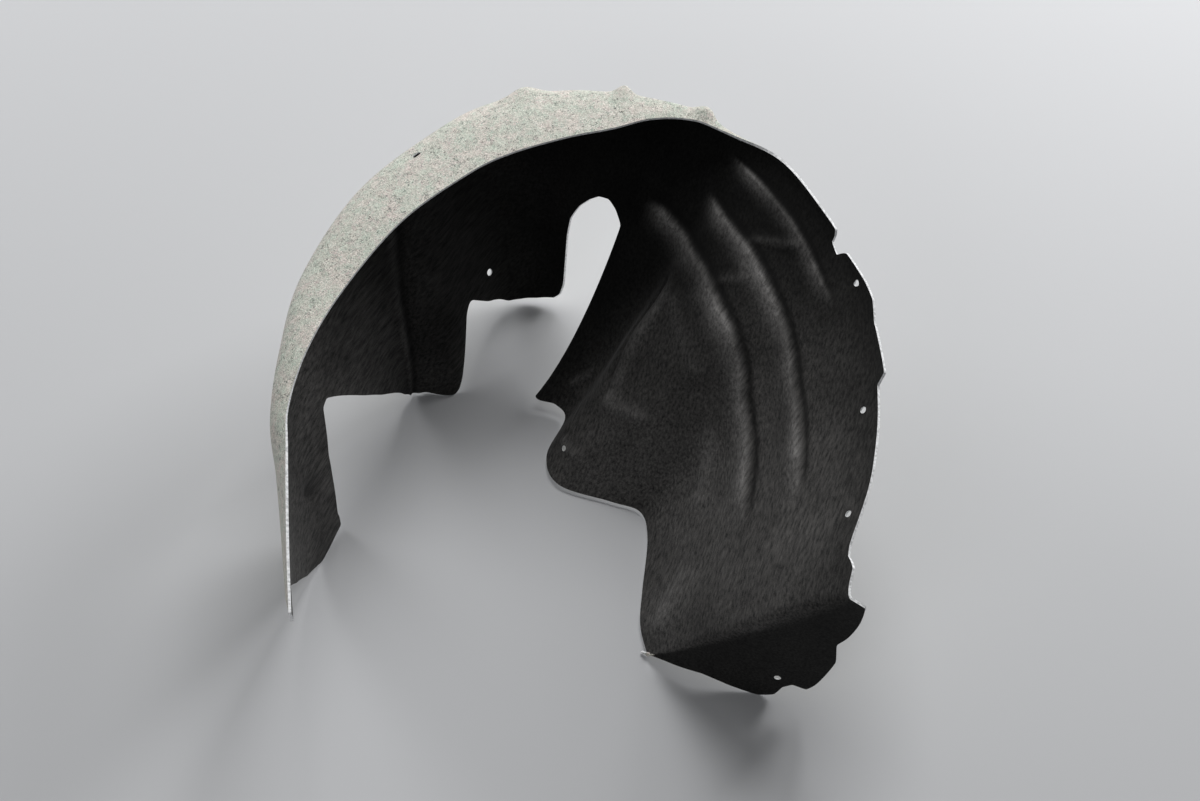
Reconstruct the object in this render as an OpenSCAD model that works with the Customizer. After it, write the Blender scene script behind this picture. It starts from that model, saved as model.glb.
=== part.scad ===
// Wheel arch liner: one moulded needle felt shell, as it lies on its inboard
// edge with the outboard lip on top. X across the arch, Y from the two legs
// to the crown, Z from the inboard edge up to the outboard rim.

/* [Overall size] */
// Width of the liner across both legs
liner_w = 680; // [600:1:760]
// Length from the leg ends to the crown
liner_l = 720; // [640:1:800]
// Depth from the inboard edge to the top of the pips on the lip
liner_d = 294; // [230:1:340]
// Thickness of the felt
felt_t = 3; // [2:0.1:5]

/* [Lip and ribs] */
// How far the outer lip swells out past the rim, as a share of the drawn one
lip_share = 1; // [0.5:0.05:1.2]
// Height of the three long ribs of the rear wall
rib_h = 10; // [2:0.5:14]
// Depth of the step pressed in the front wall
step_h = 8; // [2:0.5:12]
// Height of the three pips on the crown
pip_h = 10; // [4:0.5:16]

/* [Fixing holes] */
// Screw holes along the rear rim
rim_hole_d = 8; // [5:0.5:10]
// Hole in the inboard panel by the strut slot
panel_hole_d = 9; // [5:0.5:11]
// Hole in the inner lobe
lobe_hole_d = 7; // [4:0.5:9]
// Screw hole in the bottom flange
flange_hole_d = 8; // [5:0.5:10]
// Width of the slotted hole in the front lip
lip_slot_w = 5; // [3:0.5:7]
// Length of the slotted hole in the front lip
lip_slot_l = 11; // [8:0.5:16]

/* [Hidden] */
felt_colour = [0.09, 0.09, 0.09];

// Middle surface of the layout below as drawn, scaled to the sizes above.
drawn_w = 675.5;
drawn_l = 716.3;
drawn_d = 288.5;
size_k = [(liner_w - felt_t) / drawn_w, (liner_l - felt_t) / drawn_l, (liner_d - felt_t) / drawn_d];
mid = [-20, -190];   // middle of the arch in plan, in the layout
BELLY_AT = 0.4;      // where the belly and the foot sit on the way inboard
FOOT_AT = 0.75;

// Stations from the front leg's tip, over the crown, to the bottom flange.
// Each is: rim point, inboard edge point, lip [out, down],
// belly [out, up, along the arch], foot [out, up, along the arch].
STATIONS = [
    [[-315, -435, 270], [-355, -435,  0], [  0, 60], [  0,  0,  0], [  0,   0,  0]],
    [[-325, -350, 270], [-355, -350,  0], [ 10, 50], [ 10,  0,  0], [  0,   0,  0]],
    [[-335, -240, 275], [-345, -265,  0], [ 25, 30], [ 20, 10,  0], [  0,   0,  0]],
    [[-338, -185, 275], [-310, -175,  0], [ 45, 20], [ 40, 20,  0], [ 10,   0,  0]],
    [[-322, -113, 280], [-270,  -95,  0], [ 75, 10], [ 60, 30,  0], [  0,   0,  0]],
    [[-288,  -32, 280], [-250,  -30,  0], [125,  5], [ 75, 45,  0], [ -5,   0,  0]],
    [[-228,   60, 285], [-238,    5,  4], [158,  0], [ 95, 60,  0], [  0,   0,  0]],
    [[-157,  128, 285], [-172,   10,  5], [187,  0], [120, 65,  0], [ 20, -20,  0]],
    [[-108,  160, 285], [-124,  125,  0], [185,  0], [125, 60,  0], [ 45, -45,  0]],
    [[ -40,  186, 285], [ -62,  125,  0], [175,  0], [120, 60,  0], [ 45, -45,  0]],
    [[  15,  200, 285], [ -45,   50,  0], [155,  0], [100, 70, 20], [ 40, -30, 15]],
    [[  62,  215, 285], [ -80,    0, 10], [110,  0], [ 80, 60, 48], [ 20, -30, 30]],
    [[ 110,  213, 285], [ -55,  -13, 10], [ 75,  0], [ 40, 50, 40], [ 10, -20, 30]],
    [[ 160,  190, 282], [ -43,  -33,  6], [ 35, 10], [ 15, 30, 25], [  0, -20, 10]],
    [[ 214,  155, 280], [ -65,  -85,  4], [  5, 20], [  0, 20,  0], [  0, -15,  0]],
    [[ 258,   78, 278], [ -50, -125,  3], [ -5, 20], [  0, 20,  0], [  0, -10,  0]],
    [[ 289,   -3, 275], [  12, -148,  3], [-10, 20], [  0, 20,  0], [  0, -10,  0]],
    [[ 304,  -88, 270], [  49, -163,  3], [-12, 20], [  0, 20,  0], [  0, -10,  0]],
    [[ 304, -185, 265], [  58, -200,  3], [-12, 20], [  0, 20,  0], [  0, -10,  0]],
    [[ 290, -272, 262], [  51, -270,  3], [-12, 20], [  0, 20,  0], [  0, -10,  0]],
    [[ 268, -347, 256], [  48, -315,  3], [-12, 20], [  0, 20,  0], [  0, -10,  0]],
    [[ 257, -406, 250], [  56, -355,  3], [-12, 20], [  0, 20,  0], [  0, -10,  0]]];
LAST = len(STATIONS) - 1;

// Control curve of the bottom flange's free edge, rim side first.
FLANGE = [[290, -420, 235], [305, -405, 65], [260, -425, -80], [125, -400, 40], [46, -347, 2]];

// Outline of the sheet, as shares of the way from rim (0) to inboard edge (1).
RIM_CUT = [[0, 0], [13.5, 0], [14.2, -0.03], [15.35, -0.06], [15.42, 0.07], [15.62, 0.085],
           [15.74, -0.02], [16.3, -0.12], [16.6, -0.15], [16.9, -0.08], [17.2, -0.1], [17.6, -0.14],
           [17.68, 0], [18.9, 0], [20, 0.07], [20.2, 0.065], [20.45, -0.04], [20.75, 0], [22, 0]];
TOE_CUT = [[0, 1], [1, 1], [2, 0.99], [2.7, 0.985], [2.95, 0.946], [3.04, 0.905], [3.3, 0.795],
           [3.5, 0.72], [3.8, 0.645], [3.95, 0.61], [4.1, 0.61], [4.25, 0.65], [4.6, 0.75],
           [4.9, 0.82], [5.3, 0.89], [5.7, 0.96], [6.1, 1], [6.85, 1], [6.98, 0.985], [7.08, 0.958],
           [7.2, 0.9], [7.34, 0.82], [7.42, 0.805], [7.48, 0.811], [7.74, 0.871], [8.12, 0.93],
           [8.34, 0.937], [8.62, 0.933], [9, 0.912], [9.14, 0.888], [9.22, 0.85], [9.24, 0.72],
           [9.3, 0.676], [9.5, 0.631], [9.7, 0.602], [9.9, 0.582], [10.2, 0.571], [10.6, 0.571],
           [10.84, 0.577], [10.97, 0.583], [11, 1], [22, 1]];
LEG_CUT = [[0, 0], [0.15, 0.1], [0.4, 0.8], [0.6, 1.25], [0.77, 1.6], [0.91, 2], [1, 2.4]];
FLANGE_CUT = [[0, 0.55], [0.1, 0.58], [0.2, 0.58], [0.26, 0.56], [0.3, 0.74], [0.35, 0.8], [0.42, 0.89],
              [0.46, 0.92], [0.5, 0.83], [0.54, 0.86], [0.58, 0.97], [0.64, 1.02], [0.72, 0.97],
              [0.8, 0.87], [0.88, 0.93], [1, 0.86]];

// Lines of the ribs: share of the way inboard at each station.
RIB_1 = [[11.3, 0.51], [12.5, 0.486], [13.3, 0.462], [14.2, 0.447], [15.3, 0.474],
         [15.9, 0.513], [16.5, 0.56], [17, 0.58], [18.3, 0.605], [22, 0.62]];
RIB_2 = [[13, 0.35], [13.8, 0.343], [14.6, 0.332], [15, 0.337], [15.7, 0.359],
         [16.4, 0.388], [17, 0.412], [22, 0.42]];
RIB_3 = [[13, 0.2], [14.3, 0.189], [14.8, 0.181], [15.3, 0.188], [15.8, 0.204], [22, 0.21]];

// Ribs of the rear wall: line, first and last station, share of the rib height.
RIBS = [[RIB_1, 11.3, 19, 1], [RIB_2, 12.9, 19, 1], [RIB_3, 13, 16.4, 0.8]];
RIB_RISE = 0.9;      // stations over which a rib grows
RIB_FADE = 1;        // stations over which it fades out
RIB_FRONT = 0.018;   // half width of its steep outboard side
RIB_BACK = 0.075;    // half width of its soft inboard side

// Steps of the front wall: stations where each starts, is full, turns back and
// ends, shares across where it starts and is full, share of the step depth.
STEPS = [[6.08, 6.35, 7.3, 8, 0.35, 0.5, 1], [8.2, 8.45, 9.2, 9.5, 0.6, 0.7, 0.5]];

// Pips of the crown, then the swell and the hollow by the inner lobes:
// station, half width along, share across, half width across, share of the height.
PIPS = [[8.5, 0.22, 0.22, 0.06, 1], [10.15, 0.2, 0.17, 0.06, 1], [12.2, 0.25, 0.09, 0.06, 1]];
SWELLS = [[13.7, 0.45, 0.68, 0.1, 0.42], [14.3, 0.6, 0.84, 0.05, -0.54]];

// Columns of the sheet along the arch: from, to and how many steps between,
// closer where the outline steps.
SPANS = [[0, 2.7, 6], [2.7, 3.9, 6], [3.9, 4.3, 3], [4.3, 6.1, 6], [6.1, 6.4, 2], [6.4, 6.85, 1],
         [6.85, 7.45, 6], [7.45, 9, 7], [9, 9.22, 2], [9.22, 9.24, 1], [9.24, 9.3, 1], [9.3, 10.7, 6],
         [10.7, 10.97, 1], [10.97, 11, 1], [11, 14.2, 11], [14.2, 15.35, 4], [15.35, 15.42, 1],
         [15.42, 15.62, 1], [15.62, 15.74, 1], [15.74, 17.6, 7], [17.6, 17.68, 1], [17.68, 20, 7],
         [20, 20.75, 4], [20.75, 21, 1], [21, 21.06, 1], [21.06, 22, 3]];
COLUMNS = concat([for (p = SPANS) for (k = [0:p[2] - 1]) p[0] + (p[1] - p[0]) * k / p[2]], [22]);

// Rows across the sheet: rim 0, the ribs on the three marks, inboard edge 1.
MARKS = [0.2, 0.35, 0.5];
RIM_BAND = 0.1;
ROWS = [0, 0.05, 0.1, 0.15, 0.18, 0.2, 0.22, 0.26, 0.3, 0.33, 0.35, 0.37, 0.41, 0.45, 0.48, 0.5,
        0.53, 0.57, 0.62, 0.68, 0.75, 0.82, 0.89, 0.95, 1];

function cross_out(p) = let (v = [p[0] - mid[0], p[1] - mid[1]]) [v[0], v[1], 0] / norm(v);

// The five control points of one station, scaled to the sizes above.
function sized(net) = [for (p = net) [p[0] * size_k[0], p[1] * size_k[1], p[2] * size_k[2]]];
function control(r) =
    let (o = cross_out(r[0]), g = [o[1], -o[0], 0], a = r[0], e = r[1], w = e - a)
    sized([a,
           a + o * r[2][0] * lip_share - [0, 0, r[2][1]],
           a + w * BELLY_AT + o * r[3][0] * lip_share + g * r[3][2] + [0, 0, r[3][1]],
           a + w * FOOT_AT + o * r[4][0] + g * r[4][2] + [0, 0, r[4][1]],
           e]);

nets = [for (r = STATIONS) control(r)];
run = concat([2 * nets[0] - nets[1]], nets, [2 * nets[LAST] - nets[LAST - 1]]);
flange_net = sized(FLANGE);

function blend(a, b, c, d, u) =
    0.5 * (2 * b + (c - a) * u + (2 * a - 5 * b + 4 * c - d) * u * u + (3 * b - a - 3 * c + d) * u * u * u);
function net_at(s) = s > LAST ? nets[LAST] + (flange_net - nets[LAST]) * (s - LAST)
    : let (i = min(floor(max(s, 0)), LAST - 1)) blend(run[i], run[i + 1], run[i + 2], run[i + 3], s - i);
function curve(q, t) = let (m = 1 - t)
    t < 0 ? q[0] + 4 * t * (q[1] - q[0])
    : q[0] * m * m * m * m + q[1] * 4 * t * m * m * m + q[2] * 6 * t * t * m * m
      + q[3] * 4 * t * t * t * m + q[4] * t * t * t * t;
function slope(q, t) = let (m = 1 - max(t, 0), k = max(t, 0))
    4 * ((q[1] - q[0]) * m * m * m + (q[2] - q[1]) * 3 * k * m * m
         + (q[3] - q[2]) * 3 * k * k * m + (q[4] - q[3]) * k * k * k);

// Relief pressed in the sheet, counted toward the wheel side.
function ramp(x, a, b) = let (u = min(max((x - a) / (b - a), 0), 1)) u * u * (3 - 2 * u);
function hill(x, w) = exp(-x * x / (w * w));
function sum(v, i = 0) = i < len(v) ? v[i] + sum(v, i + 1) : 0;
function rib(s, t, r) = let (d = t - lookup(s, r[0]))
    r[3] * ramp(s, r[1], r[1] + RIB_RISE) * (1 - ramp(s, r[2] - RIB_FADE, r[2]))
    * hill(d, d < 0 ? RIB_FRONT : RIB_BACK);
function step(s, t, r) = r[6] * ramp(s, r[0], r[1]) * (1 - ramp(s, r[2], r[3])) * ramp(t, r[4], r[5]);
function bump(s, t, r) = r[4] * hill(s - r[0], r[1]) * hill(t - r[2], r[3]);
function relief(s, t) =
    rib_h * (sum([for (r = RIBS) rib(s, t, r)]) + sum([for (r = SWELLS) bump(s, t, r)]))
    - step_h * sum([for (r = STEPS) step(s, t, r)]) - pip_h * sum([for (r = PIPS) bump(s, t, r)]);

// Place and wheel side normal of a point of the sheet.
NEAR = 0.02;   // stations to each side that give the slope along the arch
function place(s, t) = let (q = net_at(s), along = curve(net_at(s + NEAR), t) - curve(net_at(s - NEAR), t),
                            n = cross(slope(q, t), along), u = n / norm(n))
    [curve(q, t) + u * relief(s, t), u];

LEG_END = 3;   // station up to which the slanted leg end shifts the columns
function sheet_s(s, t) = s < LEG_END ? LEG_END - (LEG_END - s) * (1 - lookup(t, LEG_CUT) / LEG_END)
    : s > LAST ? LAST + (s - LAST) * lookup(t, FLANGE_CUT) : s;
function between(f, f0, f1, t0, t1) = t0 + (t1 - t0) * (f - f0) / (f1 - f0);
function sheet_t(s, f) = let (t3 = lookup(s, RIB_3), t2 = lookup(s, RIB_2), t1 = lookup(s, RIB_1))
    lookup(s, RIM_CUT) * max(0, 1 - f / RIM_BAND)
    + (f < MARKS[0] ? between(f, 0, MARKS[0], 0, t3)
       : f < MARKS[1] ? between(f, MARKS[0], MARKS[1], t3, t2)
       : f < MARKS[2] ? between(f, MARKS[1], MARKS[2], t2, t1)
       : between(f, MARKS[2], 1, t1, lookup(s, TOE_CUT)));

grid = [for (s = COLUMNS) [for (f = ROWS) let (t = sheet_t(s, f)) place(sheet_s(s, t), t)]];
NC = len(COLUMNS);
NR = len(ROWS);
skin_in = [for (c = grid) for (p = c) p[0] + p[1] * felt_t / 2];
skin_out = [for (c = grid) for (p = c) p[0] - p[1] * felt_t / 2];
skin = concat(skin_in, skin_out);
lo = [for (k = [0:2]) min([for (p = skin) p[k]])];
hi = [for (k = [0:2]) max([for (p = skin) p[k]])];
base = [(lo[0] + hi[0]) / 2, (lo[1] + hi[1]) / 2, lo[2]];
echo(size = hi - lo, base = base);

// Two triangles for each mesh of the two skins and of the four edge bands.
C1 = NC - 1;
R1 = NR - 1;
function id(c, r, side) = side * NC * NR + c * NR + r;
function two(a, b, c, d) = [[a, c, b], [a, d, c]];
shell_faces = concat(
    [for (c = [0:C1 - 1]) for (r = [0:R1 - 1]) each
        two(id(c, r, 0), id(c, r + 1, 0), id(c + 1, r + 1, 0), id(c + 1, r, 0))],
    [for (c = [0:C1 - 1]) for (r = [0:R1 - 1]) each
        two(id(c, r, 1), id(c + 1, r, 1), id(c + 1, r + 1, 1), id(c, r + 1, 1))],
    [for (c = [0:C1 - 1]) each two(id(c, 0, 0), id(c + 1, 0, 0), id(c + 1, 0, 1), id(c, 0, 1))],
    [for (c = [0:C1 - 1]) each two(id(c + 1, R1, 0), id(c, R1, 0), id(c, R1, 1), id(c + 1, R1, 1))],
    [for (r = [0:R1 - 1]) each two(id(0, r + 1, 0), id(0, r, 0), id(0, r, 1), id(0, r + 1, 1))],
    [for (r = [0:R1 - 1]) each two(id(C1, r, 0), id(C1, r + 1, 0), id(C1, r + 1, 1), id(C1, r, 1))]);

// Fixing holes: place on the sheet (station, share of the way inboard), diameter.
HOLES = [[16.19, 0.02, rim_hole_d], [17.89, 0.14, rim_hole_d], [19.42, 0.15, rim_hole_d],
         [7.82, 0.8, panel_hole_d], [14.38, 0.93, lobe_hole_d], [21.73, 0.54, flange_hole_d]];
LIP_SLOT = [6.62, 0.13];
echo(mounts = [for (h = concat(HOLES, [LIP_SLOT])) let (p = place(h[0], h[1])) [p[0] - base, p[1]]]);

// Draws its children in the sheet at a place, Z along the normal, Y along the arch.
module on_sheet(s, t) {
    p = place(s, t);
    n = p[1];
    translate(p[0]) rotate([0, acos(n[2]), atan2(n[1], n[0])]) children();
}

module through(d) {
    cylinder(d = d, h = 6 * felt_t, center = true, $fn = 32);
}

module wheel_arch_liner() {
    color(felt_colour) translate(-base) difference() {
        polyhedron(points = skin, faces = shell_faces, convexity = 12);
        for (h = HOLES) on_sheet(h[0], h[1]) through(h[2]);
        on_sheet(LIP_SLOT[0], LIP_SLOT[1]) hull() {
            for (k = [-1, 1]) translate([0, k * (lip_slot_l - lip_slot_w) / 2, 0]) through(lip_slot_w);
        }
    }
}

wheel_arch_liner();
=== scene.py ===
# %% [markdown]
# # A wheel arch liner in needle felt
#
# The liner is one moulded shell that wraps round the top of a tyre and keeps
# stones and water off the body. It lies on its inboard edge on a pale table,
# with the outboard rim up, and is seen from above and in front.
#
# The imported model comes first. Everything below is in its frame, in metres.

from math import cos, pi, radians, sin

import bpy
import numpy as np
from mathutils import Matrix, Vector
from mathutils.geometry import delaunay_2d_cdt


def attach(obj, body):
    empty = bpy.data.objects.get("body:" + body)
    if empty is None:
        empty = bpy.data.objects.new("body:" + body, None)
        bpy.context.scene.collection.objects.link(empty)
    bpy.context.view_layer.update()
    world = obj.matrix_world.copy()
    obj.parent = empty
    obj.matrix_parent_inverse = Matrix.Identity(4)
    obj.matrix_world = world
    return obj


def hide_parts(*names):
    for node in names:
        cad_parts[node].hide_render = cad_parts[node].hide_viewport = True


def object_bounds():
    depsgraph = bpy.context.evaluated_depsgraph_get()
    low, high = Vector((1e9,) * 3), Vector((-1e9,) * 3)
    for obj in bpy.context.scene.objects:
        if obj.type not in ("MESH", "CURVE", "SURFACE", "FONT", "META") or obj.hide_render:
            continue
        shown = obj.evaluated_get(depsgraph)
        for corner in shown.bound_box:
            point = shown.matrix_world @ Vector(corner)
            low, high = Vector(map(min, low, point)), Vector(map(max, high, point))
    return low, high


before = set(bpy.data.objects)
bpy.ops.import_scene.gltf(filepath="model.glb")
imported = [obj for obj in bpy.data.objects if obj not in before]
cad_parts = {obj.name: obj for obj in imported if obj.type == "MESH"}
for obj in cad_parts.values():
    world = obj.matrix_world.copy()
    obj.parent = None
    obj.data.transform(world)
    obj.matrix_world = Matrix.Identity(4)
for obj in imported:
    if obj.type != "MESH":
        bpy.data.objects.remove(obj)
CAD_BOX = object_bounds()
print("CAD box", [[round(v, 4) for v in corner] for corner in CAD_BOX])

# %% [markdown]
# ## The camera
#
# The long lens stands 2.4 m off and looks down at 57 degrees, square to the
# opening of the arch. It aims at the layout's own origin, which is the place
# that all the stations below are counted from.

# %% Camera
MM = 0.001
LAYOUT_ORIGIN = np.array([0.0256, 0.0756, 0.0006])   # the layout's zero, in the frame
CAMERA_DISTANCE = 2.4
CAMERA_ELEVATION = radians(57)
LENS_MM = 57

camera = bpy.data.objects.new("camera", bpy.data.cameras.new("camera"))
camera.data.lens = LENS_MM
camera.data.sensor_width = 36
aim = Vector(LAYOUT_ORIGIN)
camera.location = aim + CAMERA_DISTANCE * Vector((0, -cos(CAMERA_ELEVATION), sin(CAMERA_ELEVATION)))
camera.rotation_euler = (pi / 2 - CAMERA_ELEVATION, 0, 0)
bpy.context.collection.objects.link(camera)
bpy.context.scene.camera = camera
print("camera at", [round(v, 3) for v in camera.location])

# %% [markdown]
# ## The stations of the sheet
#
# A press forms the liner from one flat felt blank, so one surface with two
# parameters describes it well: s counts stations along the arch, from the tip
# of the front leg, over the crown, to the bottom flange, and t runs across,
# from the rim (0) to the inboard edge (1). Each station is a curve through
# five control points: the rim, the lip's swell, the belly, the foot and the
# edge. All numbers are millimetres.

# %% Stations
FELT_MM = 3.0
OUTER_MM = np.round(np.subtract(CAD_BOX[1], CAD_BOX[0]) / MM)   # across, along and deep
DRAWN_MM = np.array([675.5, 716.3, 288.5])   # the same for the middle of the felt, as drawn below
SIZE_K = (OUTER_MM - FELT_MM) / DRAWN_MM
MIDDLE = np.array([-20.0, -190.0])           # middle of the arch in plan
BELLY_AT, FOOT_AT = 0.4, 0.75                # where belly and foot sit on the way inboard

# Rim point, edge point, lip (out, down), belly (out, up, along), foot (out, up, along).
STATIONS = [
    [(-315, -435, 270), (-355, -435, 0), (0, 60), (0, 0, 0), (0, 0, 0)],
    [(-325, -350, 270), (-355, -350, 0), (10, 50), (10, 0, 0), (0, 0, 0)],
    [(-335, -240, 275), (-345, -265, 0), (25, 30), (20, 10, 0), (0, 0, 0)],
    [(-338, -185, 275), (-310, -175, 0), (45, 20), (40, 20, 0), (10, 0, 0)],
    [(-322, -113, 280), (-270, -95, 0), (75, 10), (60, 30, 0), (0, 0, 0)],
    [(-288, -32, 280), (-250, -30, 0), (125, 5), (75, 45, 0), (-5, 0, 0)],
    [(-228, 60, 285), (-238, 5, 4), (158, 0), (95, 60, 0), (0, 0, 0)],
    [(-157, 128, 285), (-172, 10, 5), (187, 0), (120, 65, 0), (20, -20, 0)],
    [(-108, 160, 285), (-124, 125, 0), (185, 0), (125, 60, 0), (45, -45, 0)],
    [(-40, 186, 285), (-62, 125, 0), (175, 0), (120, 60, 0), (45, -45, 0)],
    [(15, 200, 285), (-45, 50, 0), (155, 0), (100, 70, 20), (40, -30, 15)],
    [(62, 215, 285), (-80, 0, 10), (110, 0), (80, 60, 48), (20, -30, 30)],
    [(110, 213, 285), (-55, -13, 10), (75, 0), (40, 50, 40), (10, -20, 30)],
    [(160, 190, 282), (-43, -33, 6), (35, 10), (15, 30, 25), (0, -20, 10)],
    [(214, 155, 280), (-65, -85, 4), (5, 20), (0, 20, 0), (0, -15, 0)],
    [(258, 78, 278), (-50, -125, 3), (-5, 20), (0, 20, 0), (0, -10, 0)],
    [(289, -3, 275), (12, -148, 3), (-10, 20), (0, 20, 0), (0, -10, 0)],
    [(304, -88, 270), (49, -163, 3), (-12, 20), (0, 20, 0), (0, -10, 0)],
    [(304, -185, 265), (58, -200, 3), (-12, 20), (0, 20, 0), (0, -10, 0)],
    [(290, -272, 262), (51, -270, 3), (-12, 20), (0, 20, 0), (0, -10, 0)],
    [(268, -347, 256), (48, -315, 3), (-12, 20), (0, 20, 0), (0, -10, 0)],
    [(257, -406, 250), (56, -355, 3), (-12, 20), (0, 20, 0), (0, -10, 0)]]
# The five control points of the flange's lower edge.
FLANGE = np.array([(290, -420, 235), (305, -405, 65), (260, -425, -80), (125, -400, 40), (46, -347, 2)])
LAST = len(STATIONS) - 1
FLANGE_EDGE = LAST + 1
print(len(STATIONS), "stations and a flange, for a liner of", OUTER_MM, "mm")

# %% [markdown]
# Between stations the control points follow a Catmull-Rom spline, which passes
# through every station, and across the sheet they weight a Bezier curve of
# degree four, which gives the soft swells a pressed felt has.


# %% Sheet without relief
def control_points(station):
    """Five points: the rim, the rim pushed out and down, two shares of the
    way to the edge pushed out, up and along the arch, and the edge."""
    rim, edge = (np.array(p, float) for p in station[:2])
    lip, belly, foot = station[2:]
    away = (rim[:2] - MIDDLE) / np.linalg.norm(rim[:2] - MIDDLE)
    out, along, up = np.array([*away, 0]), np.array([away[1], -away[0], 0]), np.array([0, 0, 1])

    def pushed(share, move):
        return rim + (edge - rim) * share + (out * move[0] + up * move[1] + along * move[2])

    return [rim, rim + out * lip[0] - up * lip[1], pushed(BELLY_AT, belly), pushed(FOOT_AT, foot), edge]


NETS = np.array([control_points(station) for station in STATIONS])
RUN = np.concatenate([[2 * NETS[0] - NETS[1]], NETS, [2 * NETS[-1] - NETS[-2]]])


def net_at(s):
    """Catmull-Rom blend of the stations' control points. Past the last
    station it goes straight to the flange's points."""
    i = np.clip(np.floor(s), 0, LAST - 1).astype(int)
    u = (np.minimum(s, LAST) - i)[..., None, None]
    a, b, c, d = RUN[i], RUN[i + 1], RUN[i + 2], RUN[i + 3]
    net = 0.5 * (2 * b + (c - a) * u + (2 * a - 5 * b + 4 * c - d) * u**2 + (3 * b - a - 3 * c + d) * u**3)
    return net + (FLANGE - NETS[LAST]) * np.maximum(s - LAST, 0)[..., None, None]


def across(net, t):
    """Bezier curve of degree four, carried on straight above the rim."""
    q, t = np.moveaxis(net, -2, 0), t[..., None]
    m = 1 - t
    inside = q[0] * m**4 + 4 * q[1] * t * m**3 + 6 * q[2] * t**2 * m**2 + 4 * q[3] * t**3 * m + q[4] * t**4
    return np.where(t < 0, q[0] + 4 * t * (q[1] - q[0]), inside)


def across_slope(net, t):
    """Derivative of that curve by t."""
    q, t = np.moveaxis(net, -2, 0), np.maximum(t, 0)[..., None]
    m = 1 - t
    leg = np.diff(q, axis=0)
    return 4 * (leg[0] * m**3 + 3 * leg[1] * t * m**2 + 3 * leg[2] * t**2 * m + leg[3] * t**3)


print("rim of station 9", across(net_at(np.array([9.0])), np.array([0.0])).round(1))

# %% [markdown]
# ## Relief
#
# Ribs, steps and pips are pressed in for stiffness, and the liner has been
# bent and stored, which leaves soft folds. Each is a height along the sheet's
# normal, toward the wheel side, and all of them are added up. A rib climbs
# steeply on its outboard side and fades slowly inboard.

# %% Ribs, steps and pips
RIB_HEIGHT, STEP_DEPTH, PIP_HEIGHT = 10, 8, 10
RIB_RISE, RIB_FRONT, RIB_BACK = 0.9, 0.009, 0.075   # growth along, half widths across
# A rib's line: station, share across.
RIB_1 = [(11.3, 0.51), (12.5, 0.486), (13.3, 0.462), (14.2, 0.447), (15.3, 0.474),
         (15.9, 0.513), (16.5, 0.56), (17, 0.58), (18.3, 0.605), (22, 0.62)]
RIB_2 = [(13, 0.35), (13.8, 0.343), (14.6, 0.332), (15, 0.337), (15.7, 0.359),
         (16.4, 0.388), (17, 0.412), (22, 0.42)]
RIB_3 = [(13, 0.2), (14.3, 0.189), (14.8, 0.181), (15.3, 0.188), (15.8, 0.204), (22, 0.21)]
# Line, first station, last station, share of the height.
RIBS = [(RIB_1, 11.3, 19, 1), (RIB_2, 12.9, 19, 1), (RIB_3, 13, 16.4, 0.8)]
# Stations where a step begins, is full, fades and ends, then across: begins, is full, and the share.
STEPS = [(6.08, 6.35, 7.3, 8, 0.35, 0.5, 1), (8.2, 8.45, 9.2, 9.5, 0.6, 0.7, 0.5)]
# Station and half width along, place and half width across, share. The swells are the same.
PIPS = [(8.5, 0.22, 0.22, 0.06, 1), (10.15, 0.2, 0.17, 0.06, 1), (12.2, 0.25, 0.09, 0.06, 1)]
SWELLS = [(13.7, 0.45, 0.68, 0.1, 0.42), (14.3, 0.6, 0.84, 0.05, -0.54)]


def along_line(s, line):
    """Straight from point to point of a line of (where, value) pairs."""
    return np.interp(s, *np.transpose(line))


def ramp(x, start, end):
    """0 before the start, 1 past the end, and 3 u squared less 2 u cubed
    between them."""
    u = np.clip((x - start) / (end - start), 0, 1)
    return u * u * (3 - 2 * u)


def hill(x, width):
    """A bell: e to the minus square of x over the width."""
    return np.exp(-((x / width) ** 2))


def rib_growth(s, first, last):
    """How much of a rib is there, 0 to 1: it grows over its first stretch and
    fades out over its last station."""
    return ramp(s, first, first + RIB_RISE) * (1 - ramp(s, last - 1, last))


def pressed(s, t):
    """Ribs less steps less pips, plus the swell and hollow by the lobes."""
    height = 0 * s * t
    for line, first, last, share in RIBS:
        d = t - along_line(s, line)
        across_rib = np.where(d < 0, hill(d, RIB_FRONT), hill(d, RIB_BACK))
        height += RIB_HEIGHT * share * rib_growth(s, first, last) * across_rib
    for s0, s1, s2, s3, t0, t1, share in STEPS:
        height -= STEP_DEPTH * share * ramp(s, s0, s1) * (1 - ramp(s, s2, s3)) * ramp(t, t0, t1)
    for s0, ws, t0, wt, share in PIPS:
        height -= PIP_HEIGHT * share * hill(s - s0, ws) * hill(t - t0, wt)
    for s0, ws, t0, wt, share in SWELLS:
        height += RIB_HEIGHT * share * hill(s - s0, ws) * hill(t - t0, wt)
    return height


tried_s, tried_t = np.linspace(0, FLANGE_EDGE, 400)[:, None], np.linspace(0, 1, 90)
print("highest relief", round(float(pressed(tried_s, tried_t).max()), 1), "mm")

# %% [markdown]
# Folds and creases are lines drawn on the sheet. The distance to a line is
# measured on the flat blank, where a station is about 70 mm wide and the sheet
# about 400 mm from rim to edge, and the height dies away with that distance.

# %% Folds and creases
STATION_MM, ACROSS_MM = 70.0, 400.0
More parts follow.
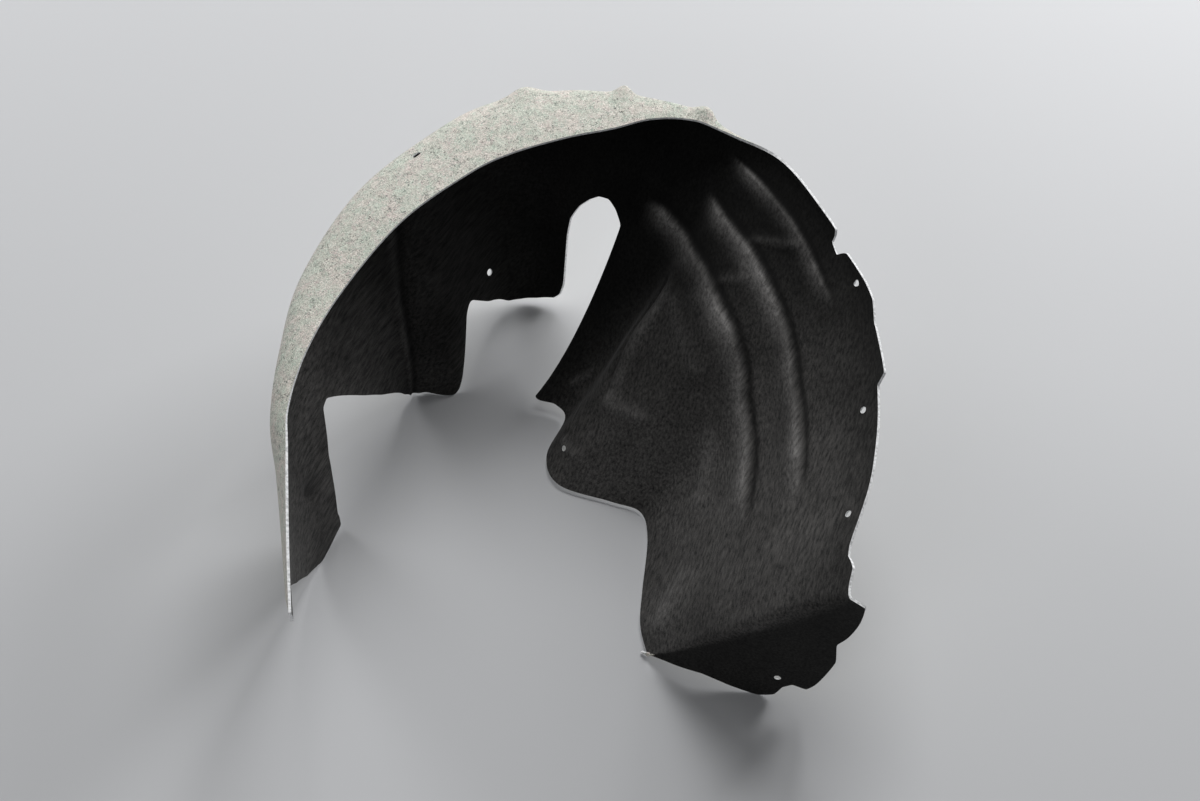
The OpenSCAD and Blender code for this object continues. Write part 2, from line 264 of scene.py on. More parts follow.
# Points (s, t), then half width in mm and height in mm.
CREASES = [
    ([(13.5, 0.55), (13.6, 0.665), (14.2, 0.77)], 4, -2.2),
    ([(13.8, 0.56), (13.95, 0.66), (14.4, 0.75)], 12, 2),
    ([(14.4, 0.78), (15.25, 0.75)], 7, 2.5),
    ([(11.9, 0.92), (12.5, 0.87)], 6, 1.5),
    ([(14.1, 0.93), (14.85, 0.91)], 5, 3),
    ([(14.1, 0.54), (15.4, 0.6)], 8, 1.5),
    ([(16.5, 0.69), (17.8, 0.78)], 12, 2),
    ([(19.2, 0.83), (20.2, 0.91)], 14, 2),
    ([(16.4, 0.11), (17, 0.12)], 6, -1.5),
    ([(8.15, 0.7), (8.2, 0.86)], 5, -2),
    ([(8.3, 0.725), (9.1, 0.7)], 4, -1),
    ([(6.72, 0.32), (6.5, 0.53), (6.34, 0.7), (6.09, 1)], 6, -4),
    ([(6.58, 0.32), (6.36, 0.53), (6.2, 0.7), (5.95, 1)], 4, 2),
    ([(2.85, 0.7), (2.9, 0.74)], 12, -4),
    ([(14.48, 0.316), (14.65, 0.287), (14.86, 0.253), (15.1, 0.212)], 4, 2),
    ([(14.52, 0.439), (14.68, 0.409), (14.92, 0.376)], 4, 1.5)]


def distance_to_line(s, t, line):
    """Least distance to the line's straight pieces, on the flat blank."""
    p = np.stack(np.broadcast_arrays(s * STATION_MM, t * ACROSS_MM), -1)
    corners = np.array(line, float) * [STATION_MM, ACROSS_MM]
    best = np.inf
    for a, b in zip(corners[:-1], corners[1:]):
        share = np.clip(((p - a) @ (b - a)) / ((b - a) @ (b - a)), 0, 1)
        best = np.minimum(best, np.linalg.norm(p - a - share[..., None] * (b - a), axis=-1))
    return best


def folded(s, t):
    """Each crease is a hill of its own height over the distance to its line,
    and all of them are added up."""
    return sum(high * hill(distance_to_line(s, t, line), wide) for line, wide, high in CREASES)


print(len(CREASES), "folds, the highest", folded(tried_s, tried_t).max().round(1), "mm")

# %% [markdown]
# Use leaves its marks by place, and three more shares from 0 to 1 are worked out on the same sheet and
# stored at its points for the finishes to read: rubbed crests that face the tyre, with a painted highlight
# on them; grey on the two legs, partly spray dust and partly painted light, with painted shade on the
# crown, by the rim and on the flange; and painted shade in the inner folds and at the foot of each rib.

# %% Wear and painted highlight, dust and painted light, painted crease shade
CREST_FRONT, CREST_BACK = 0.008, 0.032   # half widths of a rib's rubbed crest with its painted highlight, across the sheet
WEAR_AND_HIGHLIGHT_PER_MM = 0.14                       # wear and painted highlight for each mm that a fold stands out
FRONT_GREY, REAR_GREY = (4.0, 9.0), (15.0, 20.0)   # stations over which the grey of dust and painted light ends, and begins
GREY_SLANT = 5.0                         # stations by which the rear grey starts sooner inboard
RIM_GREY, INBOARD_AT = 0.35, 0.5         # share of the grey at the rim, and where it is all there
FLANGE_SHADE, FLANGE_FADE = 0.85, 0.15   # share of the grey the flange lacks, which is painted shade, and over how long
RIB_FOOT, RIB_FOOT_WIDE = 0.02, 0.009    # painted shade along the foot of a rib: its place and half width
DARK_PER_MM, DARK_WIDE = 0.15, 0.6       # painted shade for each mm that a fold goes in, and its share of the width
DARKEST = 0.8


def worn_and_highlit(s, t):
    """Wear on the wheel side, with a painted highlight: most on the crests of the ribs, which stand out
    toward the tyre, and less on the folds that stand out."""
    wear_and_highlight = 0 * s * t
    for line, first, last, share in RIBS:
        d = t - along_line(s, line)
        crest = np.where(d < 0, hill(d, CREST_FRONT), hill(d, CREST_BACK))
        wear_and_highlight += share * rib_growth(s, first, last) * crest
    for line, wide, high in CREASES:
        wear_and_highlight += WEAR_AND_HIGHLIGHT_PER_MM * max(high, 0) * hill(distance_to_line(s, t, line), wide)
    return np.clip(wear_and_highlight, 0, 1)


def dust_and_painted_light(s, t):
    """Dust and painted light: the two legs have gone grey, partly from the spray off the tyre and partly
    as painted light on the lower walls; the crown between them, the band by the rim and the flange stay
    black, partly as painted shade."""
    legs = np.maximum(1 - ramp(s, *FRONT_GREY), ramp(s + GREY_SLANT * t, *REAR_GREY))
    inboard = RIM_GREY + (1 - RIM_GREY) * ramp(t, 0, INBOARD_AT)
    return legs * inboard * (1 - FLANGE_SHADE * ramp(s, LAST, LAST + FLANGE_FADE))


def painted_crease_shade(s, t):
    """Painted shade where the felt is folded in on itself: the foot of each rib's steep side and the folds
    that go in."""
    crease_shade = 0 * s * t
    for line, first, last, _ in RIBS:
        d = t - along_line(s, line)
        crease_shade += rib_growth(s, first, last) * hill(d + RIB_FOOT, RIB_FOOT_WIDE)
    for line, wide, high in CREASES:
        crease_shade += DARK_PER_MM * max(-high, 0) * hill(distance_to_line(s, t, line), DARK_WIDE * wide)
    return np.clip(crease_shade, 0, DARKEST)


print("dusty share of the sheet", dust_and_painted_light(tried_s, tried_t).mean().round(2))

# %% [markdown]
# ## A point of the finished sheet
#
# The relief is counted along the sheet's normal, so the normal comes from the
# smooth sheet's two slopes, and the point is moved along it. At the end the
# drawn sheet is stretched to the CAD model's outer size.

# %% Point and normal
BEND_BEFORE, BEND_AFTER = 0.18, 0.1   # stations on either side of the fold to the flange


def smooth_sheet(s, t):
    """The sheet without relief. Felt takes no sharp fold, so where the wall
    turns into the flange a short arc cuts the corner: a Bezier curve of degree
    two from before the fold, by its corner, to after it."""
    before, after = LAST - BEND_BEFORE, LAST + BEND_AFTER
    u = ((s - before) / (after - before))[..., None]
    start, corner, end = (across(net_at(0 * s + at), t) for at in (before, LAST, after))
    arc = (1 - u) ** 2 * start + 2 * u * (1 - u) * corner + u**2 * end
    return np.where((u > 0) & (u < 1), arc, across(net_at(s), t))


def place(s, t):
    """The sheet's point and its unit normal toward the wheel side: the smooth
    sheet, moved along its normal by the relief."""
    s, t = np.broadcast_arrays(np.asarray(s, float), np.asarray(t, float))
    step = 0.02
    normal = np.cross(across_slope(net_at(s), t), smooth_sheet(s + step, t) - smooth_sheet(s - step, t))
    normal /= np.linalg.norm(normal, axis=-1, keepdims=True)
    point = smooth_sheet(s, t) + normal * (pressed(s, t) + folded(s, t))[..., None]
    normal = normal / SIZE_K
    return LAYOUT_ORIGIN + point * SIZE_K * MM, normal / np.linalg.norm(normal, axis=-1, keepdims=True)


print("a point of the crown", place(9.0, 0.3)[0].round(3))

# %% [markdown]
# ## The blank's outline
#
# A knife trims the liner along lines that are simplest on the flat sheet. The
# pressed shell could be cut with Boolean modifiers, but on a thin wall those
# leave ragged faces along every edge. Two lines give the rim's and the inboard
# edge's place at each station, and two more give the slanted end of the front
# leg and the scalloped edge of the flange. The closed outline is then evened
# out to one point every 2 mm and smoothed a little, as a knife leaves no sharp
# corner.

# %% Outline
# Station, share across.
RIM_CUT = [(0, 0), (13.5, 0), (14.2, -0.03), (15.35, -0.06), (15.42, 0.07), (15.62, 0.085),
           (15.74, -0.02), (16.3, -0.12), (16.6, -0.15), (16.9, -0.08), (17.2, -0.1), (17.6, -0.14),
           (17.68, 0), (18.9, 0), (20, 0.07), (20.2, 0.065), (20.45, -0.04), (20.75, 0), (22, 0)]
TOE_CUT = [(0, 1), (1, 1), (2, 0.99), (2.7, 0.985), (2.95, 0.946), (3.04, 0.905), (3.3, 0.795),
           (3.5, 0.72), (3.8, 0.645), (3.95, 0.61), (4.1, 0.61), (4.25, 0.65), (4.6, 0.75),
           (4.9, 0.82), (5.3, 0.89), (5.7, 0.96), (6.1, 1), (6.85, 1), (6.98, 0.985), (7.08, 0.958),
           (7.2, 0.9), (7.34, 0.82), (7.42, 0.805), (7.48, 0.811), (7.74, 0.871), (8.12, 0.93),
           (8.34, 0.937), (8.62, 0.933), (9, 0.912), (9.14, 0.888), (9.22, 0.85), (9.24, 0.72),
           (9.3, 0.676), (9.5, 0.631), (9.7, 0.602), (9.9, 0.582), (10.2, 0.571), (10.6, 0.571),
           (10.84, 0.577), (10.97, 0.583), (11, 1), (22, 1)]
# Share across, then the stations cut off, or the share of the flange left.
LEG_CUT = [(0, 0), (0.15, 0.1), (0.4, 0.8), (0.6, 1.25), (0.77, 1.6), (0.91, 2), (1, 2.4)]
FLANGE_CUT = [(0, 0.55), (0.1, 0.58), (0.2, 0.58), (0.26, 0.56), (0.3, 0.74), (0.35, 0.8), (0.42, 0.89),
              (0.46, 0.92), (0.5, 0.83), (0.54, 0.86), (0.58, 0.97), (0.64, 1.02), (0.72, 0.97),
              (0.8, 0.87), (0.88, 0.93), (1, 0.86)]
LEG_END = 3            # station up to which the slanted leg end shifts the cut
OUTLINE_STEP = 2.0     # mm between points
OUTLINE_BLUR = 2.8     # mm over which a corner is rounded
BLUR_POINTS = 4        # neighbours on each side that count


def shifted(s, t):
    """Station of a cut: pressed together toward the leg's slanted end and
    toward the flange's edge, and left alone between."""
    leg = LEG_END - (LEG_END - s) * (1 - along_line(t, LEG_CUT) / LEG_END)
    flange = LAST + (s - LAST) * along_line(t, FLANGE_CUT)
    return np.where(s < LEG_END, leg, np.where(s > LAST, flange, s))


def blank_outline():
    """The closed outline on the flat blank, in mm: the four cuts in turn,
    evenly spaced, then each point the weighted mean of its neighbours."""
    s, t = np.linspace(0, FLANGE_EDGE, 3000), np.linspace(0, 1, 400)
    rim, toe = along_line(s, RIM_CUT), along_line(s, TOE_CUT)
    loop = np.concatenate([np.c_[shifted(s, rim), rim], np.c_[shifted(FLANGE_EDGE + 0 * t, t), t],
                           np.c_[shifted(s, toe), toe][::-1], np.c_[shifted(0 * t, t), t][::-1]])
    loop = loop * [STATION_MM, ACROSS_MM]
    travelled = np.r_[0, np.cumsum(np.linalg.norm(np.diff(loop, axis=0), axis=1))]
    even = np.arange(0, travelled[-1], OUTLINE_STEP)
    loop = np.c_[np.interp(even, travelled, loop[:, 0]), np.interp(even, travelled, loop[:, 1])]
    offsets = np.arange(-BLUR_POINTS, BLUR_POINTS + 1)
    weight = hill(offsets * OUTLINE_STEP, OUTLINE_BLUR)
    return sum(w * np.roll(loop, k, axis=0) for k, w in zip(offsets, weight / weight.sum()))


OUTLINE = blank_outline()
print(len(OUTLINE), "outline points")

# %% [markdown]
# ## Holes
#
# Six round holes take clips and screws, and one long hole in the lip lets a
# clip slide. A true circle on the pressed sheet is an oval on the flat blank,
# so each hole's ring is worked out in space and carried back to (s, t).

# %% Holes
# Station, share across and diameter in mm.
ROUND_HOLES = {"rear_rim_upper": (16.19, 0.02, 8), "rear_rim_middle": (17.89, 0.14, 8),
               "rear_rim_lower": (19.42, 0.15, 8), "panel": (7.82, 0.8, 9),
               "lobe": (14.38, 0.93, 7), "flange": (21.73, 0.54, 8)}
LIP_SLOT = (6.62, 0.13, 5, 11)   # the same, 5 mm wide and 11 mm long
RING_POINTS = 28
SMALL_S, SMALL_T = 0.01, 0.002   # steps for the slopes


def hole_ring(s, t, wide, long):
    """Ring of points: a circle, or two half circles pulled apart along the
    arch, in the sheet's tangent plane, and its (s, t) by least squares."""
    angle = np.linspace(0, 2 * pi, RING_POINTS, endpoint=False)
    flat = np.c_[np.cos(angle), np.sin(angle)] * wide / 2
    flat[:, 0] += np.sign(flat[:, 0]) * (long - wide) / 2
    here = place(s, t)[0]
    by_s = (place(s + SMALL_S, t)[0] - here) / SMALL_S
    by_t = (place(s, t + SMALL_T)[0] - here) / SMALL_T
    along = by_s / np.linalg.norm(by_s)
    cross = by_t - along * (by_t @ along)
    cross /= np.linalg.norm(cross)
    target = (flat @ np.array([along, cross])) * MM
    steps = np.linalg.lstsq(np.c_[by_s, by_t], target.T, rcond=None)[0].T
    return (np.array([s, t]) + steps) * [STATION_MM, ACROSS_MM]


RINGS = [hole_ring(s, t, d, d) for s, t, d in ROUND_HOLES.values()] + [hole_ring(*LIP_SLOT)]
print(len(RINGS), "holes")

# %% [markdown]
# ## Net of triangles
#
# A constrained Delaunay triangulation joins the outline, the rings and an
# even grid of inner points on the flat blank. It follows every cut exactly
# and leaves no long thin faces, which would show as hairlines on soft felt.

# %% Triangulate the blank
GRID_STEP = 3.7      # mm between inner points
ROW_SHARE = 0.87     # rows lie this much of a step apart, as in even triangles
NEAREST = 0.55       # least share of a step between an inner point and an edge
SAME_POINT = 1e-4    # mm, under which two points are one


def inner_points(loops):
    """Grid points inside the outline, outside the holes and not too near any
    edge. Along each row the crossings with the edges are sorted, and a point
    is inside when an odd number of them lies before it."""
    a = np.concatenate(loops)
    b = np.concatenate([np.roll(loop, -1, axis=0) for loop in loops])
    columns = np.arange(a[:, 0].min(), a[:, 0].max(), GRID_STEP)
    kept = []
    for k, y in enumerate(np.arange(a[:, 1].min() + 1, a[:, 1].max(), GRID_STEP * ROW_SHARE)):
        x = columns + (k % 2) * GRID_STEP / 2
        hit = (a[:, 1] > y) != (b[:, 1] > y)
        share = (y - a[hit, 1]) / (b[hit, 1] - a[hit, 1])
        where = np.sort(a[hit, 0] + share * (b[hit, 0] - a[hit, 0]))
        x = x[np.searchsorted(where, x) % 2 == 1]
        near = a[np.abs(a[:, 1] - y) < GRID_STEP]
        if len(near):
            gap = np.hypot(x[:, None] - near[None, :, 0], y - near[None, :, 1]).min(axis=1)
            x = x[gap > GRID_STEP * NEAREST]
        kept.append(np.c_[x, np.full(len(x), y)])
    return np.concatenate(kept)


def triangulate(loops):
    """Corners and triangles of the blank, without those that fill a hole: a
    triangle fills one when its middle is on the same side of all its edges."""
    points = np.concatenate([*loops, inner_points(loops)])
    edges, start = [], 0
    for loop in loops:
        n = len(loop)
        edges += [(start + i, start + (i + 1) % n) for i in range(n)]
        start += n
    verts, _, faces, *_ = delaunay_2d_cdt([Vector(p) for p in points], edges, [], 1, SAME_POINT)
    verts, faces = np.array(verts, dtype=float), np.array(faces)
    centre = verts[faces].mean(axis=1)
    keep = np.ones(len(faces), bool)
    for ring in loops[1:]:
        edge, gap = np.roll(ring, -1, axis=0) - ring, centre[:, None] - ring
        side = edge[:, 0] * gap[..., 1] - edge[:, 1] * gap[..., 0]
        keep &= ~((side > 0).all(axis=1) | (side < 0).all(axis=1))
    return verts, faces[keep]


flat, triangles = triangulate([OUTLINE, *RINGS])
print(len(flat), "points and", len(triangles), "triangles on the blank")

# %% [markdown]
# ## From blank to shell
#
# Half the felt's thickness goes to each side of the sheet. The wheel side and
# the body side are the same triangles, and a band of faces closes every cut.
# Each of the three gets its own finish. A Solidify modifier would do as much
# for an even wall, but the punch has squeezed the felt round each hole, and
# here the thickness is free to follow that.

# %% Shell mesh
SQUEEZED, SQUEEZE_MM = 0.55, 9   # share lost in the middle of a hole, and its reach


def felt_shell(name, flat, triangles):
    """A closed mesh: point plus and minus half the thickness along the
    normal, and two triangles for each edge that only one triangle has."""
    point, normal = place(flat[:, 0] / STATION_MM, flat[:, 1] / ACROSS_MM)
    n = len(point)
    to_hole = np.min([np.linalg.norm(flat - ring.mean(axis=0), axis=1) for ring in RINGS], axis=0)
    half = normal * (FELT_MM / 2 * MM * (1 - SQUEEZED * hill(to_hole, SQUEEZE_MM)))[:, None]
    corners = np.concatenate([point + half, point - half])
    edge = np.concatenate([triangles[:, [0, 1]], triangles[:, [1, 2]], triangles[:, [2, 0]]])
    key = np.sort(edge, axis=1) @ [n, 1]
    _, first, count = np.unique(key, return_index=True, return_counts=True)
    a, b = edge[first[count == 1]].T
    band = np.concatenate([np.c_[a, b, b + n], np.c_[a, b + n, a + n]])
    faces = np.concatenate([triangles[:, ::-1], triangles + n, band])
    mesh = bpy.data.meshes.new(name)
    mesh.from_pydata(corners, [], faces.tolist())
    finish = np.repeat([0, 1, 2], [len(triangles), len(triangles), len(band)])
    mesh.polygons.foreach_set("material_index", finish)
    mesh.polygons.foreach_set("use_smooth", np.ones(len(faces), bool))
    rim = np.concatenate([np.sort(np.c_[a, b], axis=1), np.sort(np.c_[a, b] + n, axis=1)]) @ [2 * n, 1]
    ends = np.empty(len(mesh.edges) * 2, int)
    mesh.edges.foreach_get("vertices", ends)
    sharp = np.isin(np.sort(ends.reshape(-1, 2), axis=1) @ [2 * n, 1], rim)
    mesh.attributes.new("sharp_edge", "BOOLEAN", "EDGE").data.foreach_set("value", sharp)
    for mark, share in (("wear_and_highlight", worn_and_highlit), ("dust_and_light", dust_and_painted_light), ("painted_crease_shade", painted_crease_shade)):
        value = np.tile(share(flat[:, 0] / STATION_MM, flat[:, 1] / ACROSS_MM), 2)
        mesh.attributes.new(mark, "FLOAT", "POINT").data.foreach_set("value", value)
    piece = bpy.data.objects.new(name, mesh)
    bpy.context.collection.objects.link(piece)
    return piece


shell = felt_shell("felt_shell", flat, triangles)
print(len(shell.data.polygons), "faces in the shell")

# %% [markdown]
# ## Finishes
#
# Colours are written as on screen and turned to linear light by one function,
# and one small function adds a node with its settings and its links. The size
# of a pattern is written in millimetres and turned into cells for each metre.


# %% Helpers for materials
def linear(code):
    """sRGB hex to linear RGBA."""
    c = np.array([int(code[i:i + 2], 16) for i in (1, 3, 5)]) / 255
    return (*np.where(c <= 0.04045, c / 12.92, ((c + 0.055) / 1.055) ** 2.4), 1.0)


def cells(size_mm):
    """Pattern cells in a metre: one over the size."""
    return 1 / (size_mm * MM)


def add(tree, kind, links=(), stops=(), **values):
    """Add a node. A value is set on the node's own property of that name, or
    on its socket, links are (output socket, input name or number), and stops
    are a colour ramp's (position, sRGB hex)."""
    node = tree.nodes.new(kind)
    for name, value in values.items():
        if hasattr(node, name):
            setattr(node, name, value)
        else:
            node.inputs[name.replace("_", " ")].default_value = value
    for source, target in links:
        tree.links.new(source, node.inputs[target])
    for position, _ in stops[1:-1]:
        node.color_ramp.elements.new(position)
    for k, (position, code) in enumerate(stops):
        point = node.color_ramp.elements[k]
        point.position, point.color = position, linear(code)
    return node


def new_material(name):
    """An empty material with its node tree."""
    material = bpy.data.materials.new(name)
    material.use_nodes = True
    material.node_tree.nodes.clear()
    return material, material.node_tree


print("white is", linear("#ffffff"))

# %% [markdown]
# ### Wheel side: black needle felt
#
# Barbed needles punch dyed polyester fibres into a mat, and the press lays
# them flat, so the face is a dull dark grey with short lighter fibres that
# mostly run one way. It has no gloss, only a little sheen at a low angle. The
# real fibres are 0.03 mm thick, too fine for this picture, and hair would need
# millions of strands. A noise that is stretched one way gives the same look,
# with strands drawn 3 mm wide and 26 mm long so that they show.


# %% Black needle felt
STRAND_MM, STRAND_LONG_MM = 3.03, 26.3   # drawn width and length of a strand
SPECK_MM = 1.11                          # loose fibre ends
CLOUD_MM = 91                            # patches that are rubbed more or less
STRAND_TURN = radians(-60)               # the way the strands lie, seen from above
NAP_MM = 0.8                             # depth of the fibres in the bump


def black_needle_felt():
    """Strands and specks set the tone, which runs from black to grey by the dust and painted light, and on
    to a rubbed grey, partly a painted highlight, by the wear times the clouds. The clouds dull it, and
    painted shade makes the inner folds nearly black."""
    material, tree = new_material("black needle felt")
    place_in = add(tree, "ShaderNodeTexCoord").outputs["Object"]
    dust_and_light, wear_and_highlight, crease_shade = (add(tree, "ShaderNodeAttribute", attribute_name=name).outputs["Fac"]
                        for name in ("dust_and_light", "wear_and_highlight", "painted_crease_shade"))
    turned = add(tree, "ShaderNodeMapping", [(place_in, 0)], Rotation=(0, 0, STRAND_TURN))
    lengthways = add(tree, "ShaderNodeMapping", [(turned.outputs[0], 0)],
                     Scale=(cells(STRAND_LONG_MM), cells(STRAND_MM), cells(STRAND_MM)))
    strands = add(tree, "ShaderNodeTexNoise", [(lengthways.outputs[0], 0)],
                  Scale=1.0, Detail=3.0, Roughness=0.6)
    specks = add(tree, "ShaderNodeTexNoise", [(place_in, 0)], Scale=cells(SPECK_MM), Detail=2.0)
    clouds = add(tree, "ShaderNodeTexNoise", [(place_in, 0)],
                 Scale=cells(CLOUD_MM), Detail=4.0, Roughness=0.55).outputs[0]
    tone = add(tree, "ShaderNodeMix", [(strands.outputs[0], 2), (specks.outputs[0], 3)],
               data_type="FLOAT", Factor=0.3).outputs[0]
    black = add(tree, "ShaderNodeValToRGB", [(tone, 0)], [(0.34, "#0b0b0b"), (0.68, "#222221")])
    # Grey for the legs: partly dust, partly painted light.
    grey = add(tree, "ShaderNodeValToRGB", [(tone, 0)], [(0.34, "#2c2c2c"), (0.68, "#6c6a68")])
    # A lighter rubbed grey for the crests, partly a painted highlight.
    rubbed_and_highlit = add(tree, "ShaderNodeValToRGB", [(tone, 0)], [(0.34, "#6a6867"), (0.66, "#b0aeac")])
    dusted_and_lit = add(tree, "ShaderNodeMix", [(dust_and_light, 0), (black.outputs[0], 6), (grey.outputs[0], 7)],
                 data_type="RGBA")
    patchy = add(tree, "ShaderNodeMath", [(wear_and_highlight, 0), (clouds, 1)], operation="MULTIPLY")
    toned = add(tree, "ShaderNodeMix",
               [(patchy.outputs[0], 0), (dusted_and_lit.outputs[2], 6), (rubbed_and_highlit.outputs[0], 7)], data_type="RGBA")
    cloudy = add(tree, "ShaderNodeValToRGB", [(clouds, 0)], [(0.32, "#c4c4c4"), (0.68, "#ffffff")])
    dulled = add(tree, "ShaderNodeMix", [(toned.outputs[2], 6), (cloudy.outputs[0], 7)],
                 data_type="RGBA", blend_type="MULTIPLY", Factor=1.0)
    # Painted shade: the inner folds and the foot of each rib go nearly black.
    colour = add(tree, "ShaderNodeMix", [(crease_shade, 0), (dulled.outputs[2], 6)], data_type="RGBA")
    colour.inputs[7].default_value = linear("#101010")
    bump = add(tree, "ShaderNodeBump", [(tone, "Height")], Strength=0.5, Distance=NAP_MM * MM)
    shader = add(tree, "ShaderNodeBsdfPrincipled",
                 [(colour.outputs[2], "Base Color"), (bump.outputs[0], "Normal")],
                 Roughness=0.95, Specular_IOR_Level=0.1, Sheen_Weight=0.05, Sheen_Roughness=0.5)
    add(tree, "ShaderNodeOutputMaterial", [(shader.outputs[0], 0)])
    return material


BLACK_FELT = black_needle_felt()
print("made", BLACK_FELT.name)

# %% [markdown]
# ### Body side: recycled fibre felt
#
# The back is made of torn-up textile waste, pressed with a white binder, so it
# is off-white with flecks of cream, mint, rose and dark grey a few millimetres
# across. A cell pattern gives each fleck a colour of its own, where a noise
# would only blend two, and bending the cells' borders takes their straight
# sides away. Each batch of waste leans a little to green or to rose.


# %% Recycled fibre felt
FLECK_MM = 2.33                    # one torn fleck
BEND_MM, BEND_SHARE = 2.63, 0.018  # the noise that bends the borders, and how much of it
FLUFF_MM = 1.61                    # fine light and shade of the fibres
BATCH_MM = 20.8                    # patches that lean to one colour
TINTS = [(0, "#eeece4"), (0.28, "#dcdbd3"), (0.5, "#d0dbd2"), (0.64, "#fbf9f2"),
         (0.8, "#e2d4d3"), (0.88, "#a8a9a5"), (0.95, "#6f726f")]


def recycled_fibre_felt():
    """A tint for each bent cell, drawn by chance, times the fibres' fine shade,
    times the batch's own lean."""
    material, tree = new_material("recycled fibre felt")
    place_in = add(tree, "ShaderNodeTexCoord").outputs["Object"]
    bend = add(tree, "ShaderNodeTexNoise", [(place_in, 0)], Scale=cells(BEND_MM), Detail=2.0)
    bent = add(tree, "ShaderNodeMix", [(place_in, 4), (bend.outputs[1], 5)],
               data_type="VECTOR", Factor=BEND_SHARE)
    flecks = add(tree, "ShaderNodeTexVoronoi", [(bent.outputs[1], 0)], Scale=cells(FLECK_MM))
    chance = add(tree, "ShaderNodeSeparateColor", [(flecks.outputs[1], 0)])
    tints = add(tree, "ShaderNodeValToRGB", [(chance.outputs[0], 0)], TINTS)
    tints.color_ramp.interpolation = "CONSTANT"
    fluff = add(tree, "ShaderNodeTexNoise", [(place_in, 0)],
                Scale=cells(FLUFF_MM), Detail=3.0, Roughness=0.7).outputs[0]
    shade = add(tree, "ShaderNodeValToRGB", [(fluff, 0)], [(0.35, "#bab9b4"), (0.6, "#ffffff")])
    mottled = add(tree, "ShaderNodeMix", [(tints.outputs[0], 6), (shade.outputs[0], 7)],
                  data_type="RGBA", blend_type="MULTIPLY", Factor=0.8)
    batches = add(tree, "ShaderNodeTexNoise", [(place_in, 0)],
                  Scale=cells(BATCH_MM), Detail=3.0, Roughness=0.6)
    lean = add(tree, "ShaderNodeValToRGB", [(batches.outputs[0], 0)],
               [(0.38, "#edf3ee"), (0.62, "#faf4f3")])
    colour = add(tree, "ShaderNodeMix", [(mottled.outputs[2], 6), (lean.outputs[0], 7)],
                 data_type="RGBA", blend_type="MULTIPLY", Factor=1.0)
    bump = add(tree, "ShaderNodeBump", [(fluff, "Height")], Strength=0.4, Distance=NAP_MM * MM)
    shader = add(tree, "ShaderNodeBsdfPrincipled",
                 [(colour.outputs[2], "Base Color"), (bump.outputs[0], "Normal")],
                 Roughness=0.95, Specular_IOR_Level=0.2, Sheen_Weight=0.1)
    add(tree, "ShaderNodeOutputMaterial", [(shader.outputs[0], 0)])
    return material


FIBRE_FELT = recycled_fibre_felt()
print("made", FIBRE_FELT.name)

# %% [markdown]
# ### Cut edge
#
# The knife opens the mat and shows its undyed core, so every cut is a thin
# pale line with loose fibres. The band of faces round the outline could share
# the back's finish, but the core is paler and has no flecks.


# %% Cut felt edge
FRAY_MM, FRAY_DEEP_MM = 3.33, 1.0   # size and depth of the loose fibres, drawn coarse to show


def cut_felt_edge():
    """A noise between two near-whites, and the same noise as bump."""
    material, tree = new_material("cut felt edge")
    place_in = add(tree, "ShaderNodeTexCoord").outputs["Object"]
    fray = add(tree, "ShaderNodeTexNoise", [(place_in, 0)], Scale=cells(FRAY_MM), Detail=3.0).outputs[0]
    colour = add(tree, "ShaderNodeValToRGB", [(fray, 0)], [(0.35, "#c9cacb"), (0.6, "#fafbfc")])
    bump = add(tree, "ShaderNodeBump", [(fray, "Height")], Strength=0.5, Distance=FRAY_DEEP_MM * MM)
    shader = add(tree, "ShaderNodeBsdfPrincipled",
                 [(colour.outputs[0], "Base Color"), (bump.outputs[0], "Normal")],
                 Roughness=0.95, Specular_IOR_Level=0.2)
    add(tree, "ShaderNodeOutputMaterial", [(shader.outputs[0], 0)])
    return material


for finish in (BLACK_FELT, FIBRE_FELT, cut_felt_edge()):
    shell.data.materials.append(finish)
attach(shell, "root")
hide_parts("wheel_arch_liner")
print("finishes", [m.name for m in shell.data.materials])

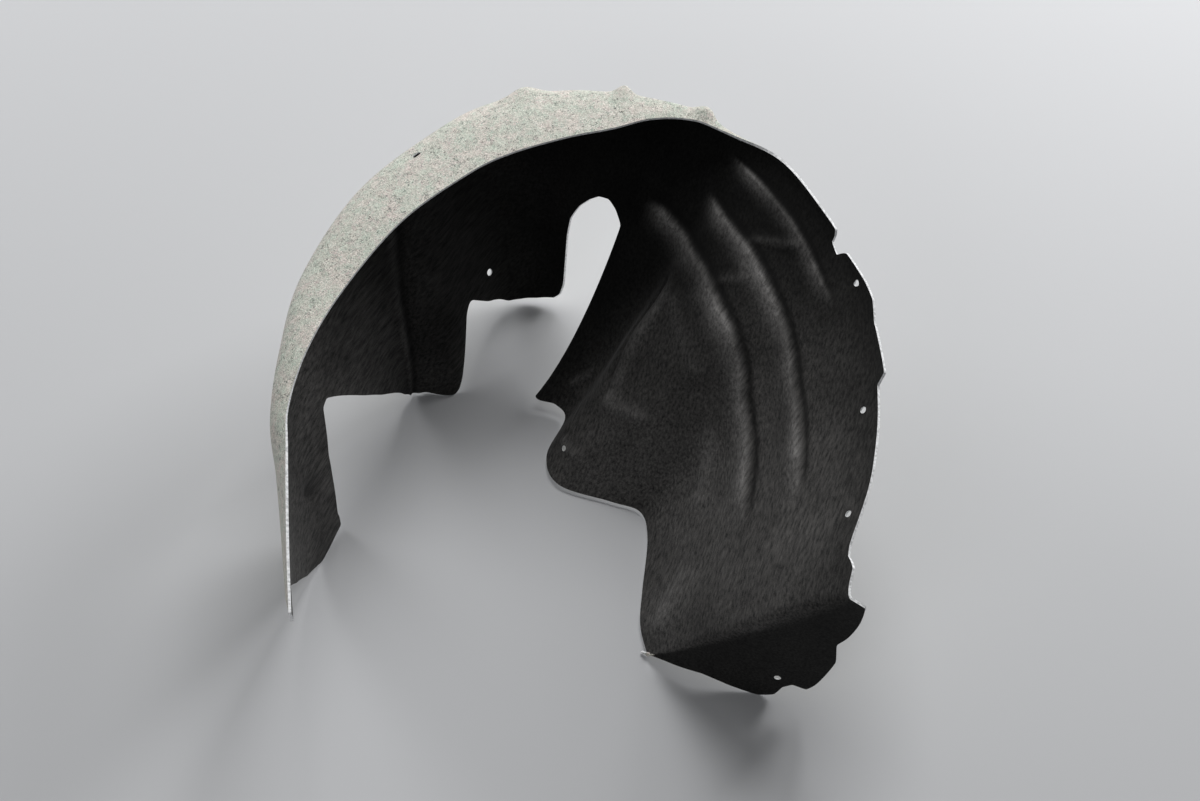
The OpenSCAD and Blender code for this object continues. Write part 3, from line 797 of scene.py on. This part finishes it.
# %% [markdown]
# ## Table and light
#
# The table is a plain pale grey sheet. The main light is a large soft lamp
# that hangs behind the liner, a little to the right, so the crown shades the
# table inside the arch. A lamp low at the right makes that side of the table
# bright, one low at the left draws out the ribs of the rear wall, a weak one
# in front lights the lobes, and a dim sky fills the rest. One lamp in front
# would be simpler, but it would flatten the ribs.

# %% Table
FLOOR_HALF = 6.0   # half the table's side, in metres
floor_mesh = bpy.data.meshes.new("table_top")
floor_mesh.from_pydata([(-FLOOR_HALF, -FLOOR_HALF, 0), (FLOOR_HALF, -FLOOR_HALF, 0),
                        (FLOOR_HALF, FLOOR_HALF, 0), (-FLOOR_HALF, FLOOR_HALF, 0)], [], [(0, 1, 2, 3)])
floor = bpy.data.objects.new("table_top", floor_mesh)
bpy.context.collection.objects.link(floor)
table_paint, tree = new_material("pale table laminate")
shader = add(tree, "ShaderNodeBsdfPrincipled",
             Base_Color=linear("#cccdcf"), Roughness=0.8, Specular_IOR_Level=0.2)
add(tree, "ShaderNodeOutputMaterial", [(shader.outputs[0], 0)])
floor_mesh.materials.append(table_paint)
print("table", FLOOR_HALF * 2, "m wide")


# %% Light
def soft_lamp(name, where, size, power):
    """A square area lamp, size in metres and power in watts, that faces the
    layout's origin."""
    lamp = bpy.data.objects.new(name, bpy.data.lights.new(name, "AREA"))
    lamp.data.size, lamp.data.energy = size, power
    lamp.location = where
    lamp.rotation_euler = (aim - Vector(where)).to_track_quat("-Z", "Y").to_euler()
    bpy.context.collection.objects.link(lamp)


soft_lamp("back_light", (0.7, 3.6, 3.7), 2.6, 178)
soft_lamp("right_light", (1.9, 1.8, 1.6), 1.0, 36)
soft_lamp("left_light", (-2.1, 1.7, 1.3), 1.0, 17)
soft_lamp("front_light", (-1.3, -2.4, 1.8), 1.4, 11)
world = bpy.data.worlds.new("sky")
bpy.context.scene.world = world
world.use_nodes = True
sky = world.node_tree.nodes["Background"]
sky.inputs["Color"].default_value = linear("#fafcff")
sky.inputs["Strength"].default_value = 0.11
bpy.context.scene.view_settings.view_transform = "Standard"
print("lamps and sky set")
